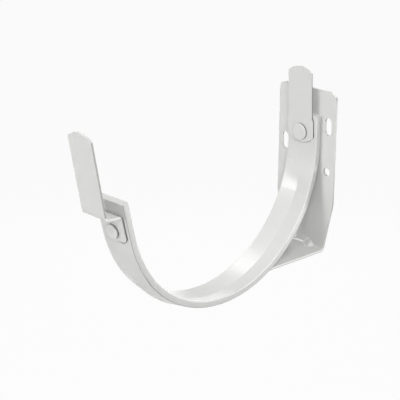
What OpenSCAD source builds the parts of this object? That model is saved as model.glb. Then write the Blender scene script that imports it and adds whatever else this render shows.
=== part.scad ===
// Fascia bracket for a half-round gutter.
// The origin is on the wall, level with the gutter's centre: X runs along the gutter,
// +Y goes into the wall and +Z is up.

/* [Hook arm] */
// Inner radius of the hook, which is the outer radius of the gutter
seat_r = 76; // [60:1:100]
// Width of the flat bar, before its crease draws the edges in
bar_w = 23; // [21:0.5:30]
// Thickness of the bar
bar_t = 4; // [3:0.25:5]
// Radius along the bar's four long edges
bar_edge_r = 0.6; // [0.3:0.1:0.9]
// Angle that the front end leans out from upright
front_lean = 13; // [5:1:20]
// Length of the straight front end
front_len = 22; // [21:0.5:30]
// Height of the straight back end above the gutter's centre
back_len = 17.7; // [16:0.5:24]

/* [Crease along the arm] */
// Depth of the crease
crease_d = 2; // [1:0.25:3]
// Where the crease starts at the back, in degrees round from the bottom of the hook
crease_back = 77; // [60:1:84]
// Where it ends at the front, in degrees round from the bottom of the hook
crease_front = 61; // [45:1:68]
// Angle over which each end of the crease fades into the flat bar
crease_fade = 11; // [6:1:20]

/* [Wall plate] */
// Width of the plate
plate_w = 45; // [42:1:60]
// Thickness of the plate
plate_t = 1.5; // [1:0.25:2.5]
// Height of the plate's top edge above the gutter's centre
plate_top = 34; // [28:1:50]
// Radius of the two top corners
plate_corner_r = 5; // [2:0.5:8]
// Height of the lower part, where the sides taper
flank_h = 31; // [20:1:34]
// Inside radius of the fold between the plate and its shelf
fold_r = 1.5; // [1:0.25:3]
// Width across the fold
fold_w = 33; // [28:1:40]
// Width of the shelf where it meets the arm
shelf_end_w = 21.4; // [16:0.2:22]
// Height of the shelf at the fold, above the lowest point of the arm's flat edges
shelf_rise = 11.4; // [8:0.2:16]
// Angle that the shelf drops from level towards the arm
shelf_drop = 2.5; // [0:0.5:5]

/* [Screw holes] */
// Distance from the plate's side to the middle of each screw hole
screw_edge = 5.5; // [4:0.5:8]
// Diameter of the round hole and width of the slots
screw_d = 5; // [4:0.25:6]
// Length of the slots, end to end
slot_len = 11; // [8:0.5:13]
// Height of the right slot's middle above the gutter's centre
right_slot_z = 12; // [10:1:16]
// Depth of the left slot's middle below the gutter's centre
left_slot_z = 4; // [0:1:12]
// Depth of the round hole's middle below the gutter's centre
hole_z = 17; // [8:1:26]

/* [Dimple across the fold] */
// Width of the dimple along the fold
dimple_w = 19.5; // [12:0.5:24]
// How far the dimple runs up the plate and out along the shelf
dimple_h = 5.5; // [3:0.25:8]

/* [Clips] */
// Width of both clips
clip_w = 18.6; // [16:0.2:21]
// Thickness of the front clip
clip_t = 1.2; // [0.8:0.1:2]
// Thickness of the rear clip
rear_t = 0.8; // [0.6:0.1:2]
// Radius of the arched ends
arch_r = 13.8; // [11:0.2:30]
// Inside radius of the front clip's folds
clip_fold_r = 1.7; // [0.8:0.1:3]
// Length of the front clip's leg, up to its first fold
leg_len = 14.8; // [13:0.2:20]
// Radius of the leg's two lower corners
leg_corner_r = 3; // [1:0.5:6]
// Distance from the end of the leg to the middle of the rivet
leg_rivet_in = 5.8; // [5.6:0.2:9]
// Length of the flat shelf between the two folds
step_len = 8; // [5:0.2:12]
// Angle that this shelf rises from square to the arm
step_rise = 19; // [0:1:40]
// Length of the front tab, from its fold to the top of its arch
tab_len = 48.4; // [30:0.2:70]
// Angle that the front tab leans in from the line of the arm's end
tab_lean = 2.4; // [0:0.2:10]
// Height of the rear clip's top above its rivet
rear_tab_h = 41.2; // [25:0.2:60]
// Angle that the rear clip is turned on its rivet
rear_turn = 2.4; // [0:0.2:4]
// Width of the rear clip's foot
foot_w = 20.6; // [18:0.2:22]
// Depth of the foot below the rivet
foot_drop = 6.6; // [5:0.1:7]
// Radius of the foot's lower edge
foot_r = 15; // [11:0.5:30]
// Height above the rivet where the foot starts to narrow
foot_top = 7.2; // [6:0.2:12]
// Height over which the foot narrows to the clip's width
foot_taper = 2.6; // [1:0.2:5]

/* [Rivets] */
// Diameter of the rivets' shanks
rivet_d = 5; // [4:0.25:6]
// Diameter of the front rivet's head
front_head_d = 8.6; // [8:0.2:12]
// Height of the front rivet's head
front_head_h = 1.9; // [1:0.1:2.5]
// Diameter of the rear rivet's head
rear_head_d = 10.4; // [8:0.2:12]
// Height of the rear rivet's head
rear_head_h = 1.4; // [1:0.1:2.5]
// Radius round the edge of the heads
head_edge_r = 0.4; // [0.2:0.1:0.8]
// Diameter of the flush tails, in their countersinks
tail_d = 8; // [7:0.25:9]
// Depth of the countersinks
tail_h = 1.2; // [0.6:0.1:2]
// Distance from the arm's back end to the middle of its rivet
back_rivet_in = 11.4; // [9:0.2:14]
// Distance of that rivet from the arm's middle, towards the left
back_rivet_off = 1; // [0:0.2:2]
// Distance from the arm's front end to the middle of its rivet
front_rivet_in = 18.4; // [16:0.2:21]

/* [Fits] */
// Clearance round the rivets in their holes
rivet_gap = 0.05; // [0.02:0.01:0.2]
// Clearance under the rear clip, which lets its foot pass the start of the hook's curve
clip_gap = 0.01; // [0.01:0.01:0.1]
// Clearance between the shelf's end and the arm
seat_gap = 0.1; // [0.05:0.05:0.3]

/* [Hidden] */

$fn = 96;
PAINT = [0.87, 0.87, 0.85];
ZINC = [0.84, 0.84, 0.82];
FADE_STEPS = 10;
EDGE_STEPS = 3;

arm_out_r = seat_r + bar_t;
arm_y = -(plate_t + arm_out_r);
front_angle = front_lean - 90;
screw_x = plate_w / 2 - screw_edge;
shelf_z = shelf_rise - arm_out_r;
fold_turn = 90 - shelf_drop;
shelf_len = arm_out_r - sqrt(pow(arm_out_r, 2) - pow(shelf_z, 2));
step_turn = 90 - step_rise;
back_rivet_z = back_len - back_rivet_in;
front_rivet_s = front_len - front_rivet_in;
front_full = crease_fade - crease_front;
back_full = crease_back - crease_fade;
skin = 0.02;
let_in = 2;
cut = 1;

// ---- Points ----

function unit(v) = v / norm(v);

// The arc that rounds the corner at, between its two neighbours
function rounded(before, at, after, r) =
    let (u = unit(before - at), v = unit(after - at), half = acos(u * v) / 2)
    let (centre = at + unit(u + v) * r / sin(half))
    let (from = at + u * r / tan(half) - centre, to = at + v * r / tan(half) - centre)
    let (a = atan2(from.y, from.x), turn = atan2(cross(from, to), from * to))
    [for (i = [0:EDGE_STEPS]) centre + r * [cos(a + turn * i / EDGE_STEPS), sin(a + turn * i / EDGE_STEPS)]];

// The bar's section at crease depth d: [distance out from seat_r, distance from the middle]
function section(d, inset = 0) =
    let (h = sqrt(pow(bar_w / 2, 2) - d * d) - inset, t = bar_t - inset)
    let (valley = [d + inset, 0], inner = [inset, h], outer = [t, h], ridge = [t + d, 0])
    let (edge = concat(rounded(valley, inner, outer, bar_edge_r), rounded(inner, outer, ridge, bar_edge_r)))
    concat([valley], edge, [ridge], [for (i = [len(edge) - 1:-1:0]) [edge[i].x, -edge[i].y]]);

// How much of the crease is left at a share of the way along its fading end
function faded(share) = (1 - cos(180 * max(0, min(1, share)))) / 2;

// ---- Places ----

// At an angle round the hook: X points out from the centre, Y runs towards the back, Z is the width
module at_arm(angle) {
    translate([0, arm_y, 0])
        rotate([0, 90, 0])
            rotate([0, 0, angle])
                children();
}

// On the arm's outer face at the front: X points out, Y runs up the leaning end, Z is the width
module on_front() {
    at_arm(front_angle)
        mirror([0, 1, 0])
            translate([arm_out_r, 0, 0])
                children();
}

// Just clear of the back end's inner face, at the rivet: X is the width, Y is up, Z faces the gutter
module on_back() {
    translate([-back_rivet_off, arm_y + seat_r - clip_gap, back_rivet_z])
        rotate([90, 0, 0])
            children();
}

// A flat shape in Y and Z, given thickness along X
module sheet(t) {
    rotate([90, 0, 90])
        linear_extrude(t)
            children();
}

// A bend in sheet, with both its ends let into the flats that it joins
module bend(turn, r, t, width) {
    rotate([0, 0, -let_in])
        rotate_extrude(angle = turn + 2 * let_in)
            translate([r + skin, skin - width / 2])
                square([t - 2 * skin, width - 2 * skin]);
}

// ---- Hook arm ----

module bar_section(d) {
    translate([seat_r, 0])
        polygon(section(d));
}

// A straight end and the flat turn that leads into it
module flat_end(length, turn) {
    rotate([90, 0, 0])
        linear_extrude(length)
            bar_section(0);
    rotate_extrude(angle = turn)
        bar_section(0);
}

// The bar from flat at one angle to fully creased at another, with both its ends let into the next stretch
module fade(flat_at, full_at) {
    rings = [for (i = [-0.5:FADE_STEPS + 0.5])
        let (share = i / FADE_STEPS, a = flat_at + (full_at - flat_at) * share)
        [for (p = section(crease_d * faded(share), skin))
            [(seat_r + p.x) * cos(a), (seat_r + p.x) * sin(a), p.y]]];
    n = len(rings[0]);
    last = n * (len(rings) - 1);
    sides = [for (i = [0:n:last - n], j = [0:n - 1])
        let (k = (j + 1) % n)
        each [[i + j, i + k, i + n + k], [i + j, i + n + k, i + n + j]]];
    ends = [for (j = [1:n - 2]) each [[0, j + 1, j], [last, last + j, last + j + 1]]];
    faces = concat(ends, sides);
    at_arm(0)
        polyhedron(
            points = [for (ring = rings) each ring],
            faces = full_at > flat_at ? [for (f = faces) [f[2], f[1], f[0]]] : faces
        );
}

module hook_arm() {
    color(PAINT)
        difference() {
            union() {
                at_arm(front_angle)
                    flat_end(front_len, -crease_front - front_angle);
                fade(-crease_front, front_full);
                at_arm(front_full)
                    rotate_extrude(angle = back_full - front_full)
                        bar_section(crease_d);
                fade(crease_back, back_full);
                at_arm(90)
                    mirror([0, 1, 0])
                        flat_end(back_len, 90 - crease_back);
            }
            front_rivet_hole();
            back_rivet_hole();
        }
}

// ---- Wall plate ----

module plate_outline() {
    side = plate_w / 2;
    corner = side - plate_corner_r;
    polygon([
        [-fold_w / 2, shelf_z + fold_r],
        [fold_w / 2, shelf_z + fold_r],
        [side, shelf_z + flank_h],
        [side, plate_top - plate_corner_r],
        [corner, plate_top],
        [-corner, plate_top],
        [-side, plate_top - plate_corner_r],
        [-side, shelf_z + flank_h]
    ]);
    for (x = [-corner, corner])
        translate([x, plate_top - plate_corner_r])
            circle(plate_corner_r);
}

// From the fold to past the arm's outer face, where it is cut to fit
module shelf_outline() {
    narrowing = (fold_w - shelf_end_w) / 2 / shelf_len;
    reach = shelf_len + bar_t;
    polygon([
        [0, fold_w / 2],
        [-reach, fold_w / 2 - narrowing * reach],
        [-reach, narrowing * reach - fold_w / 2],
        [0, -fold_w / 2]
    ]);
}

// At the centre of the fold: X points down to the shelf, Y points back to the plate
module at_fold() {
    translate([0, -(plate_t + fold_r), shelf_z + fold_r])
        rotate([0, 90, 0])
            rotate([0, 0, shelf_drop])
                children();
}

module folded_sheet() {
    rotate([90, 0, 0])
        linear_extrude(plate_t)
            plate_outline();
    at_fold()
        bend(fold_turn, fold_r, plate_t, fold_w);
    difference() {
        at_fold()
            translate([fold_r, 0, 0])
                sheet(plate_t)
                    shelf_outline();
        arm_envelope();
    }
}

// A round bar across the inside corner of the fold, at half the fold's angle
module dimple_bar(shrink) {
    depth = dimple_h / sqrt(2);
    r = (pow(dimple_w / 2, 2) + depth * depth) / (2 * depth);
    long = 4 * dimple_h;
    translate([0, -plate_t, shelf_z])
        rotate([45, 0, 0])
            translate([0, 0, depth - r])
                rotate([90, 0, 0])
                    cylinder(h = long, r = r - shrink, center = true);
}

// The space inside the corner, from within the plate and the shelf
module inside_corner() {
    size = 3 * dimple_h;
    intersection() {
        translate([-dimple_w, -plate_t / 2 - size, shelf_z - plate_t])
            cube([2 * dimple_w, size, size]);
        at_fold()
            translate([fold_r + plate_t / 2 - size, -size, -dimple_w])
                cube([size, 2 * size, 2 * dimple_w]);
    }
}

// Everything within the arm's outer face, grown by the clearance of the seat
module arm_envelope() {
    edge = sqrt(pow(bar_w / 2, 2) - pow(crease_d, 2));
    r = arm_out_r + seat_gap;
    at_arm(0)
        rotate_extrude()
            polygon([[0, -plate_w], [r, -plate_w], [r, -edge], [r + crease_d, 0], [r, edge], [r, plate_w], [0, plate_w]]);
}

module slot_cut(x, z) {
    straight = slot_len - screw_d;
    translate([x, cut, z])
        rotate([90, 0, 0])
            linear_extrude(plate_t + 2 * cut) {
                square([screw_d, straight], center = true);
                for (end = [-1, 1])
                    translate([0, end * straight / 2])
                        circle(d = screw_d);
            }
}

module wall_plate() {
    color(PAINT)
        difference() {
            union() {
                folded_sheet();
                intersection() {
                    dimple_bar(0);
                    inside_corner();
                }
            }
            dimple_bar(plate_t);
            slot_cut(screw_x, right_slot_z);
            slot_cut(-screw_x, -left_slot_z);
            translate([screw_x, cut, -hole_z])
                rotate([90, 0, 0])
                    cylinder(h = plate_t + 2 * cut, d = screw_d);
            back_rivet_hole();
        }
}

// ---- Clips ----

// Each of these adds a stretch to a strip that runs along Y, and goes on from its end
module strip_flat(length) {
    translate([0, 0, -clip_w / 2])
        cube([clip_t, length, clip_w]);
    translate([0, length, 0])
        children();
}

module strip_fold_out(turn) {
    translate([clip_t + clip_fold_r, 0, 0]) {
        rotate([0, 0, 180 - turn])
            strip_ring(turn);
        rotate([0, 0, -turn])
            translate([-clip_t - clip_fold_r, 0, 0])
                children();
    }
}

module strip_fold_in(turn) {
    translate([-clip_fold_r, 0, 0]) {
        strip_ring(turn);
        rotate([0, 0, turn])
            translate([clip_fold_r, 0, 0])
                children();
    }
}

module strip_ring(turn) {
    bend(turn, clip_fold_r, clip_t, clip_w);
}

// A strip along X, square at the start and arched at the far end
module arched_strip(length) {
    intersection() {
        translate([0, -clip_w / 2])
            square([length, clip_w]);
        union() {
            translate([length - arch_r, 0])
                circle(arch_r);
            translate([0, -clip_w / 2])
                square([length - arch_r, clip_w]);
        }
    }
}

module leg_outline() {
    side = clip_w / 2;
    corner = side - leg_corner_r;
    translate([leg_corner_r, -side])
        square([leg_len - leg_corner_r, clip_w]);
    translate([0, -corner])
        square([leg_len, 2 * corner]);
    for (y = [-corner, corner])
        translate([leg_corner_r, y])
            circle(leg_corner_r);
}

module front_clip() {
    color(PAINT)
        difference() {
            on_front()
                translate([0, front_rivet_s - leg_rivet_in, 0]) {
                    sheet(clip_t)
                        leg_outline();
                    translate([0, leg_len, 0])
                        strip_fold_out(step_turn)
                            strip_flat(step_len)
                                strip_fold_in(step_turn + tab_lean)
                                    sheet(clip_t)
                                        arched_strip(tab_len);
                }
            front_rivet_hole();
        }
}

module rear_outline() {
    translate([0, foot_top + foot_taper])
        rotate([0, 0, 90])
            arched_strip(rear_tab_h - foot_top - foot_taper);
    polygon([
        [-foot_w / 2, foot_top],
        [foot_w / 2, foot_top],
        [clip_w / 2, foot_top + foot_taper],
        [-clip_w / 2, foot_top + foot_taper]
    ]);
    intersection() {
        translate([0, foot_r - foot_drop])
            circle(foot_r);
        translate([-foot_w / 2, -foot_drop])
            square([foot_w, foot_drop + foot_top]);
    }
}

module rear_clip() {
    color(PAINT)
        difference() {
            on_back()
                rotate([0, 0, rear_turn])
                    linear_extrude(rear_t)
                        rear_outline();
            back_rivet_hole();
        }
}

// ---- Rivets ----

// The head's seat is at Z = 0, and the tail ends flush at the bottom of the grip
module rivet(grip, head_d, head_h) {
    flat_r = head_d / 2 - head_edge_r;
    rotate_extrude() {
        square([flat_r, head_h]);
        square([head_d / 2, head_h - head_edge_r]);
        translate([flat_r, head_h - head_edge_r])
            circle(head_edge_r);
    }
    translate([0, 0, -grip]) {
        cylinder(h = grip, d = rivet_d);
        cylinder(h = tail_h, d1 = tail_d, d2 = rivet_d);
    }
}

// The hole for that rivet, through everything that it grips
module rivet_hole(grip) {
    hole_d = rivet_d + 2 * rivet_gap;
    sink_d = tail_d + 2 * rivet_gap;
    translate([0, 0, -grip - cut])
        cylinder(h = grip + 2 * cut, d = hole_d);
    translate([0, 0, -grip])
        cylinder(h = tail_h, d1 = sink_d, d2 = hole_d);
    translate([0, 0, -grip - cut])
        cylinder(h = cut, d = sink_d);
}

front_grip = clip_t + bar_t;
back_grip = rear_t + clip_gap + bar_t + plate_t;

module at_front_rivet() {
    on_front()
        translate([clip_t, front_rivet_s, 0])
            rotate([0, 90, 0])
                children();
}

module at_back_rivet() {
    on_back()
        translate([0, 0, rear_t])
            children();
}

module front_rivet_hole() {
    at_front_rivet()
        rivet_hole(front_grip);
}

module back_rivet_hole() {
    at_back_rivet()
        rivet_hole(back_grip);
}

module front_rivet() {
    color(ZINC)
        at_front_rivet()
            rivet(front_grip, front_head_d, front_head_h);
}

module rear_rivet() {
    color(ZINC)
        at_back_rivet()
            rivet(back_grip, rear_head_d, rear_head_h);
}

hook_arm();
wall_plate();
front_clip();
rear_clip();
front_rivet();
rear_rivet();
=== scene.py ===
"""Looks for the gutter bracket: gloss paint on steel, soft studio light, the photograph's camera.

Metres, in the part's own frame: +X along the gutter, +Y into the wall, +Z up.
"""
import math

import bpy
from mathutils import Matrix, Vector

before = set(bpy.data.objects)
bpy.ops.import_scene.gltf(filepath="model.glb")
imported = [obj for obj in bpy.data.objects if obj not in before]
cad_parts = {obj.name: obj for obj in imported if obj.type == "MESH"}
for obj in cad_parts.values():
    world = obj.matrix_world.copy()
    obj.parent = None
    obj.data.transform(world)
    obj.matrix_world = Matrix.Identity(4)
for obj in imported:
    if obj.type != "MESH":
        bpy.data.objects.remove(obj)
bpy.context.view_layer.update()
scene = bpy.context.scene
scene.view_settings.view_transform = "Standard"

# ---- values ----

# Camera: place, azimuth, elevation and roll in degrees, and focal length in mm
CAMERA_AT = (0.51027, -0.60917, 0.26133)
CAMERA_TURN = (44.762, 20.872, 0.198)
CAMERA_LENS = 121.05

# Lamps: the point they face and their distance from it
AIM = Vector((-0.00245, -0.09219, -0.01630))
LAMP_AWAY = 1.6

# Azimuth, elevation, width, height and power. Azimuth 0 is in front of the wall, 90 to the right.
LAMPS = {
    "key": (-21, 11, 0.56, 0.64, 9.6),
    "key_left": (-33, 4, 0.20, 0.36, 0.6),
    "key_right": (4, 12, 0.50, 0.60, 1.6),
    "front_right": (52, 18, 0.30, 0.90, 4.2),
    "over_camera": (45, 45, 0.60, 0.60, 11.2),
    "top_left": (-102, 64, 0.60, 0.60, 6.6),
    "top_right": (95, 60, 0.60, 0.60, 2.2),
    "back_right": (135, 45, 0.60, 0.60, 5.0),
    "low_right": (137, -20, 0.50, 0.50, 5.2),
    "low_left": (-135, -1, 0.65, 0.70, 2.5),
}
FILL = 0.12
FLOOR_Z = -0.62
FLOOR_HALF = 6.0
FLOOR_GREY = 0.80
# Share of the floor's look that is white in view; the rest shows the bracket's shadow
FLOOR_WHITE = 0.945

# Paint: colour, and roughness on sheets and on rivets
GREY = (0.662, 0.664, 0.650)
SHEET_ROUGH = 0.26
RIVET_ROUGH = 0.28

# Bevels on the sharp edges. The arm and the rivets have theirs in the part's source.
BEVELS = {
    "hook_arm": 0.0,
    "wall_plate": 0.00035,
    "front_clip": 0.00015,
    "rear_clip": 0.00015,
    "front_rivet": 0.0,
    "rear_rivet": 0.0,
}
BEVEL_ANGLE = math.radians(40)
SMOOTH_ANGLE = math.radians(32)
CREASE_ANGLE = math.radians(4)
CREASE_HALF = 0.0001

# Places on the part: the hook's centre, where the shelf's flat starts, its top there and its slope
HOOK_Y = -0.0815
SHELF_Y = -0.003
SHELF_Z = -0.0687
SHELF_SLOPE = 0.0437
# Where the shade on the plate's cut edges stops, above its shelf
PLATE_WALLS_Z = -0.05
# Where the plate's and the arm's edges begin, out from their middle, and so where their painted
# highlights and the painted shade on the plate's sides start
PLATE_RIM_X = 0.012
PLATE_SIDE_X = 0.0215
ARM_RIM_X = 0.0105
# Where each tab starts, above its rivet or its fold, and where the front clip's folds start
REAR_TAB_Z = 0.0155
FRONT_TAB_Z = -0.0016
FRONT_FOLD_Y = -0.1640
# The rear clip has no fold, so its limit lies beyond the part
NO_FOLD_Y = -1.0


# ---- camera ----

def toward(azimuth, elevation):
    """The direction from the bracket for an azimuth and an elevation in radians."""
    return Vector((
        math.sin(azimuth) * math.cos(elevation),
        -math.cos(azimuth) * math.cos(elevation),
        math.sin(elevation),
    ))


def make_camera():
    data = bpy.data.cameras.new("camera")
    data.lens = CAMERA_LENS
    data.sensor_width = 36.0
    data.clip_start = 0.01
    data.clip_end = 50.0
    cam = bpy.data.objects.new("camera", data)
    scene.collection.objects.link(cam)
    azimuth, elevation, roll = (math.radians(a) for a in CAMERA_TURN)
    turn = toward(azimuth, elevation).to_track_quat("Z", "Y").to_matrix()
    turn = turn @ Matrix.Rotation(roll, 3, "Z")
    cam.matrix_world = Matrix.Translation(CAMERA_AT) @ turn.to_4x4()
    scene.camera = cam


# ---- node helpers ----

class Graph:
    """Short calls for building one material's nodes."""

    def __init__(self, tree):
        self.tree = tree
        tree.nodes.clear()

    def node(self, kind, **values):
        n = self.tree.nodes.new(kind)
        for key, value in values.items():
            setattr(n, key, value)
        return n

    def link(self, out, into):
        self.tree.links.new(out, into)

    def split(self, vector):
        n = self.node("ShaderNodeSeparateXYZ")
        self.link(vector, n.inputs[0])
        return n.outputs

    def noise(self, coords, scale, detail, rough=0.5):
        n = self.node("ShaderNodeTexNoise")
        n.inputs["Scale"].default_value = scale
        n.inputs["Detail"].default_value = detail
        n.inputs["Roughness"].default_value = rough
        self.link(coords, n.inputs["Vector"])
        return n.outputs["Fac"]

    def nearness(self, reach, low, high):
        """1 where at most a share low is open to within reach, fading to 0 where high is."""
        n = self.node("ShaderNodeAmbientOcclusion", samples=12)
        n.inputs["Distance"].default_value = reach
        return self.span(n.outputs["AO"], 1.0, 0.0, low, high)

    def span(self, value, low, high, from_low=0.0, from_high=1.0):
        n = self.node("ShaderNodeMapRange")
        n.inputs["From Min"].default_value = from_low
        n.inputs["From Max"].default_value = from_high
        n.inputs["To Min"].default_value = low
        n.inputs["To Max"].default_value = high
        self.link(value, n.inputs["Value"])
        return n.outputs["Result"]

    def math(self, op, *values):
        n = self.node("ShaderNodeMath", operation=op)
        for i, v in enumerate(values):
            if isinstance(v, (int, float)):
                n.inputs[i].default_value = v
            else:
                self.link(v, n.inputs[i])
        return n.outputs[0]

    def add(self, a, b):
        return self.math("ADD", a, b)

    def less(self, a, b):
        return self.math("SUBTRACT", a, b)

    def size(self, value):
        return self.math("ABSOLUTE", value)

    def most(self, a, b):
        return self.math("MAXIMUM", a, b)

    def above(self, value, limit):
        return self.math("GREATER_THAN", value, limit)

    def below(self, value, limit):
        return self.math("LESS_THAN", value, limit)

    def times(self, first, *others):
        for other in others:
            first = self.math("MULTIPLY", first, other)
        return first

    def band(self, value, middle, full, none):
        """1 within full of the middle, fading to 0 at none."""
        return self.span(self.size(self.less(value, middle)), 1.0, 0.0, full, none)

    def plain_rays(self):
        """1 for what the camera sees itself, in a reflection or through something."""
        ray = self.node("ShaderNodeLightPath").outputs
        seen = self.most(ray["Is Camera Ray"], ray["Is Glossy Ray"])
        return self.most(seen, ray["Is Transmission Ray"])

    def mixed(self, share, first, second, out):
        mix = self.node("ShaderNodeMixShader")
        self.link(share, mix.inputs[0])
        self.link(first.outputs[0], mix.inputs[1])
        self.link(second.outputs[0], mix.inputs[2])
        self.link(mix.outputs[0], out.inputs["Surface"])


# ---- paint ----

def paint(name, rough, walls="", reach=0.002, rim="", steep=0.95, inset=0.0, shine=1.3, marks=None):
    """Grey gloss paint over steel, with orange peel, slow drifts of gloss and specks of dust.

    Walls says which cut edges gather shade where another face is within reach: "y" those square
    to Y, "x" those facing along X or down. Those near the plate's fold are left out of "y".
    Rim says which rounded edges get a painted highlight, lighter colour standing in for the light
    they catch, and a little more gloss: those turning from X or from Y, no nearer to that axis than
    steep and further out than inset from the middle. The highlight gain is how much lighter they
    are. A piece's own painted light and shade, which multiply the colour, come in the last
    argument.
    """
    mat = bpy.data.materials.new(name)
    mat.use_nodes = True
    g = Graph(mat.node_tree)
    out = g.node("ShaderNodeOutputMaterial")
    bsdf = g.node("ShaderNodeBsdfPrincipled")
    g.link(bsdf.outputs[0], out.inputs["Surface"])
    coords = g.node("ShaderNodeTexCoord").outputs["Object"]
    place = g.split(coords)
    turn = g.split(g.node("ShaderNodeNewGeometry").outputs["True Normal"])

    slow = g.noise(coords, 28.0, 2.0)
    fine = g.noise(coords, 900.0, 3.0, 0.6)
    peel = g.noise(coords, 420.0, 2.0, 0.45)
    specks = g.span(g.noise(coords, 2600.0, 1.0), 0.0, 1.0, 0.69, 0.76)

    tone = g.add(g.span(slow, -0.012, 0.012), g.span(fine, -0.008, 0.008))
    tone = g.less(tone, g.times(specks, 0.03))
    light = g.add(tone, 1.0)
    gloss = g.add(g.span(slow, rough - 0.03, rough + 0.03), g.span(fine, -0.03, 0.03))
    # Painted highlight: rounded edges made lighter, standing in for the light they catch, and a
    # little glossier
    if rim:
        slant = g.size(turn[rim])
        edge_painted_highlight = g.times(g.above(slant, 0.3), g.below(slant, steep))
        edge_painted_highlight = g.times(edge_painted_highlight, g.above(g.size(place["X"]), inset), g.span(slow, 0.8, 1.0))
        light = g.times(light, g.span(edge_painted_highlight, 1.0, shine))
        gloss = g.less(gloss, g.times(edge_painted_highlight, 0.08))
    # A piece's own painted light and shade multiply the colour
    if marks:
        light = g.times(light, marks(g, place, turn))
    if walls:
        if walls == "y":
            edge = g.times(g.below(g.size(turn["Y"]), 0.6), g.above(place["Z"], PLATE_WALLS_Z))
        else:
            edge = g.most(g.above(g.size(turn["X"]), 0.6), g.below(turn["Z"], -0.6))
        shade = g.times(edge, g.nearness(reach, 0.55, 0.9))
        light = g.times(light, g.span(shade, 1.0, 0.08))
        g.link(g.span(shade, 0.5, 0.05), bsdf.inputs["Specular IOR Level"])
    mix = g.node("ShaderNodeHueSaturation")
    mix.inputs["Color"].default_value = (*GREY, 1.0)
    g.link(light, mix.inputs["Value"])
    g.link(mix.outputs["Color"], bsdf.inputs["Base Color"])

    g.link(gloss, bsdf.inputs["Roughness"])
    bsdf.inputs["Metallic"].default_value = 0.0
    bsdf.inputs["IOR"].default_value = 1.5

    bump = g.node("ShaderNodeBump")
    bump.inputs["Strength"].default_value = 0.2
    bump.inputs["Distance"].default_value = 0.00003
    g.link(g.add(peel, g.times(fine, 0.25)), bump.inputs["Height"])
    g.link(bump.outputs["Normal"], bsdf.inputs["Normal"])
    return mat


def plate_marks(g, place, turn):
    """Painted light and shade on the dimple in the fold, the shelf's cut edge and the sides' cut
    edges.

    The dimple has painted shade over it, with a painted highlight as a bead across it, a painted
    highlight spot at its left end and a painted highlight ring round a painted shaded eye at its
    right end. The shelf's cut edge has a painted highlight along its top and painted shade below
    it, and the sides' cut edges have painted shade.
    """
    x = place["X"]
    # Distance from the part's origin down the dimple's 45 degree slope
    along = g.times(g.add(place["Y"], place["Z"]), -math.sqrt(0.5))

    def apart(x0, along0):
        dx, da = g.less(x, x0), g.less(along, along0)
        return g.math("SQRT", g.add(g.times(dx, dx), g.times(da, da)))

    dimple = g.times(g.above(turn["Z"], 0.3), g.below(turn["Y"], -0.3))
    dimple = g.times(dimple, g.below(g.size(x), 0.0104))
    # Painted highlights on the dimple, as a bead, a spot and a ring; painted shade in the eye and
    # over the whole dimple
    painted_bead_highlight = g.times(g.band(along, 0.0501, 0.0003, 0.0007), g.band(x, -0.002, 0.0042, 0.0052))
    painted_spot_highlight = g.span(apart(-0.0055, 0.0481), 1.0, 0.0, 0.0006, 0.0013)
    from_eye = apart(0.0066, 0.0494)
    painted_ring_highlight = g.band(from_eye, 0.0032, 0.0002, 0.0006)
    painted_eye_shade = g.span(from_eye, 1.0, 0.0, 0.0020, 0.0030)
    shade = g.add(g.times(g.most(painted_bead_highlight, painted_spot_highlight), 0.62), g.times(painted_ring_highlight, 0.16))
    shade = g.less(g.less(shade, g.times(painted_eye_shade, 0.08)), 0.20)

    # Height, as if the shelf were level
    z = g.less(place["Z"], g.times(g.less(place["Y"], SHELF_Y), SHELF_SLOPE))
    slant = g.size(turn["X"])
    # Painted highlight along the top of the shelf's cut edge and painted shade below it
    shelf_edge = g.times(g.above(slant, 0.3), g.below(z, SHELF_Z + 0.0004), g.less(1.0, dimple))
    shelf_painted_light = g.span(z, -0.34, 0.38, SHELF_Z - 0.0014, SHELF_Z - 0.0008)
    # Painted shade on the cut edges of the plate's sides
    side = g.times(g.above(slant, 0.85), g.above(z, SHELF_Z), g.above(g.size(x), PLATE_SIDE_X))
    shade = g.add(g.times(dimple, shade), g.times(shelf_edge, shelf_painted_light))
    return g.add(g.less(shade, g.times(side, 0.18)), 1.0)


def arm_marks(rear_end, front_end):
    """Painted shadow as dark lines on the arm below the clips' feet, which end at these heights,
    and painted shade on its outer right rounded edges and on its left ones, where it tempers their
    painted highlight."""

    def marks(g, place, turn):
        x, y, z = place["X"], place["Y"], place["Z"]
        slant = g.size(turn["X"])
        # Painted shadow under the rear clip's foot, where another face is near
        rear = g.times(g.nearness(0.0012, 0.60, 0.92), g.below(slant, 0.3))
        rear = g.times(rear, g.below(g.size(g.less(z, rear_end)), 0.0022))

        # The front line, a painted shadow below the front clip's foot, follows the foot's end and
        # its rounded right corner
        corner = g.most(g.less(x, 0.0040), 0.0)
        line = g.add(g.times(corner, corner, 150.0), front_end - 0.0013)
        front = g.span(g.less(z, line), 0.0, 1.0, -0.0008, -0.0003)
        front = g.times(front, g.below(z, front_end + 0.004), g.below(y, -0.1))
        front = g.times(front, g.span(x, 0.0, 1.0, -0.001, 0.005))
        front = g.times(front, g.span(x, 1.0, 0.0, 0.0092, 0.0098), g.below(turn["Y"], -0.7))

        # Above 0 where a face turns towards the hook's centre
        inward = g.less(g.times(turn["Y"], g.less(HOOK_Y, y)), g.times(turn["Z"], z))
        # Painted shade on the outer right rounded edges and on the left ones
        rounded = g.times(g.above(slant, 0.3), g.below(slant, 0.95))
        outer_right = g.times(rounded, g.below(inward, 0.0), g.above(turn["X"], 0.0))
        left = g.times(rounded, g.below(turn["X"], 0.0))
        light = g.times(g.span(outer_right, 1.0, 0.42), g.span(left, 1.0, 0.80))
        return g.times(light, g.span(g.most(rear, front), 1.0, 0.35))

    return marks


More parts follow.
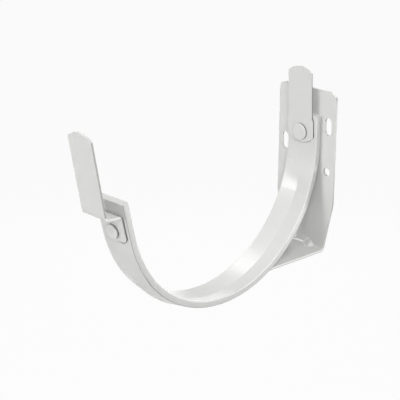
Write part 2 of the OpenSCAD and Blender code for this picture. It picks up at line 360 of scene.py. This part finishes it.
def clip_marks(tab_z, fold_y):
    """Painted shade on the right cut edge of a clip's tab, above tab_z, and a painted highlight on
    that of the folds below it, further out than fold_y."""

    def marks(g, place, turn):
        edge = g.above(turn["X"], 0.85)
        tab = g.above(place["Z"], tab_z)
        fold = g.times(g.less(1.0, tab), g.below(place["Y"], fold_y))
        # Painted shade on the tab's right edge and painted highlight on the folds' right edges
        light = g.times(edge, g.less(g.times(fold, 0.25), g.times(tab, 0.45)))
        return g.add(light, 1.0)

    return marks


def dress(node, **look):
    mat = paint(**look)
    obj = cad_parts[node]
    if not obj.material_slots:
        obj.data.materials.append(mat)
    for slot in obj.material_slots:
        slot.material = mat


def dress_all():
    rear_end, front_end = (
        min(corner[2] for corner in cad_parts[clip].bound_box)
        for clip in ("rear_clip", "front_clip")
    )
    # Rim puts painted highlights on the rounded edges of the arm, the plate and the rivets
    dress(
        "hook_arm", name="arm_paint", rough=SHEET_ROUGH,
        rim="X", inset=ARM_RIM_X, shine=1.25, marks=arm_marks(rear_end, front_end),
    )
    dress(
        "wall_plate", name="plate_paint", rough=SHEET_ROUGH, walls="y", reach=0.008,
        rim="X", steep=0.85, inset=PLATE_RIM_X, shine=1.45, marks=plate_marks,
    )
    dress(
        "rear_clip", name="rear_clip_paint", rough=SHEET_ROUGH, walls="y",
        marks=clip_marks(REAR_TAB_Z, NO_FOLD_Y),
    )
    dress(
        "front_clip", name="front_clip_paint", rough=SHEET_ROUGH, walls="x",
        marks=clip_marks(FRONT_TAB_Z, FRONT_FOLD_Y),
    )
    for rivet in ("rear_rivet", "front_rivet"):
        dress(rivet, name=f"{rivet}_paint", rough=RIVET_ROUGH, walls="y", rim="Y")


# ---- edges ----

def smooth_by_angle():
    """Geometry nodes that shade smooth across flat edges but keep the arm's crease sharp."""
    tree = bpy.data.node_groups.new("smooth_by_angle", "GeometryNodeTree")
    for way in ("INPUT", "OUTPUT"):
        tree.interface.new_socket("Geometry", in_out=way, socket_type="NodeSocketGeometry")

    def add(kind, **values):
        n = tree.nodes.new(kind)
        for key, value in values.items():
            setattr(n, key, value)
        return n

    def compare(op, value, limit):
        n = add("FunctionNodeCompare", operation=op)
        n.inputs[1].default_value = limit
        tree.links.new(value, n.inputs[0])
        return n.outputs[0]

    def boolean(op, *values):
        n = add("FunctionNodeBooleanMath", operation=op)
        for i, v in enumerate(values):
            tree.links.new(v, n.inputs[i])
        return n.outputs[0]

    angle = add("GeometryNodeInputMeshEdgeAngle").outputs["Unsigned Angle"]
    place = add("ShaderNodeSeparateXYZ")
    tree.links.new(add("GeometryNodeInputPosition").outputs[0], place.inputs[0])
    off_middle = add("ShaderNodeMath", operation="ABSOLUTE")
    tree.links.new(place.outputs["X"], off_middle.inputs[0])
    crease = boolean(
        "AND",
        compare("LESS_THAN", off_middle.outputs[0], CREASE_HALF),
        compare("GREATER_THAN", angle, CREASE_ANGLE),
    )
    flat = boolean("AND", compare("LESS_THAN", angle, SMOOTH_ANGLE), boolean("NOT", crease))

    start, end = add("NodeGroupInput"), add("NodeGroupOutput")
    faces = add("GeometryNodeSetShadeSmooth")
    edges = add("GeometryNodeSetShadeSmooth", domain="EDGE")
    tree.links.new(start.outputs[0], faces.inputs["Geometry"])
    tree.links.new(faces.outputs["Geometry"], edges.inputs["Geometry"])
    tree.links.new(flat, edges.inputs["Shade Smooth"])
    tree.links.new(edges.outputs["Geometry"], end.inputs[0])
    return tree


def soften(node, width, tree):
    """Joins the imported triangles, rounds the sharp edges a little and shades the rest smooth."""
    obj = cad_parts[node]
    bpy.context.view_layer.objects.active = obj
    bpy.ops.mesh.customdata_custom_splitnormals_clear()
    obj.modifiers.new("weld", "WELD").merge_threshold = 0.000002
    if width:
        bevel = obj.modifiers.new("edges", "BEVEL")
        bevel.width = width
        bevel.segments = 2
        bevel.limit_method = "ANGLE"
        bevel.angle_limit = BEVEL_ANGLE
    obj.modifiers.new("shade", "NODES").node_group = tree
    even = obj.modifiers.new("even", "WEIGHTED_NORMAL")
    even.mode = "FACE_AREA"
    even.keep_sharp = True


# ---- light and floor ----

def area(name, azimuth, elevation, width, height, power):
    """A soft box that faces the bracket."""
    back = toward(math.radians(azimuth), math.radians(elevation))
    data = bpy.data.lights.new(name, "AREA")
    data.shape = "RECTANGLE"
    data.size = width
    data.size_y = height
    data.energy = power
    obj = bpy.data.objects.new(name, data)
    scene.collection.objects.link(obj)
    obj.location = AIM + back * LAMP_AWAY
    obj.rotation_mode = "QUATERNION"
    obj.rotation_quaternion = back.to_track_quat("Z", "Y")


def make_world():
    """White to the camera and to reflections, and a plain soft fill to everything else."""
    world = bpy.data.worlds.new("studio")
    scene.world = world
    world.use_nodes = True
    g = Graph(world.node_tree)
    out = g.node("ShaderNodeOutputWorld")
    fill, white = g.node("ShaderNodeBackground"), g.node("ShaderNodeBackground")
    for background, strength in ((fill, FILL), (white, 1.0)):
        background.inputs["Color"].default_value = (1.0, 1.0, 1.0, 1.0)
        background.inputs["Strength"].default_value = strength
    g.mixed(g.plain_rays(), fill, white, out)


def make_floor():
    """A plain pale floor well below the bracket, which hangs on its wall."""
    mesh = bpy.data.meshes.new("floor")
    s, z = FLOOR_HALF, FLOOR_Z
    mesh.from_pydata([(-s, -s, z), (s, -s, z), (s, s, z), (-s, s, z)], [], [(0, 1, 2, 3)])
    floor = bpy.data.objects.new("floor", mesh)
    scene.collection.objects.link(floor)
    mat = bpy.data.materials.new("floor")
    mat.use_nodes = True
    g = Graph(mat.node_tree)
    out = g.node("ShaderNodeOutputMaterial")
    matt = g.node("ShaderNodeBsdfDiffuse")
    matt.inputs["Color"].default_value = (FLOOR_GREY, FLOOR_GREY, FLOOR_GREY, 1.0)
    glow = g.node("ShaderNodeEmission")
    glow.inputs["Color"].default_value = (1.0, 1.0, 1.0, 1.0)
    glow.inputs["Strength"].default_value = 1.0
    g.mixed(g.times(g.plain_rays(), FLOOR_WHITE), matt, glow, out)
    mesh.materials.append(mat)


make_camera()
dress_all()
smooth = smooth_by_angle()
for node, width in BEVELS.items():
    soften(node, width, smooth)
make_world()
make_floor()
for name, lamp in LAMPS.items():
    area(name, *lamp)
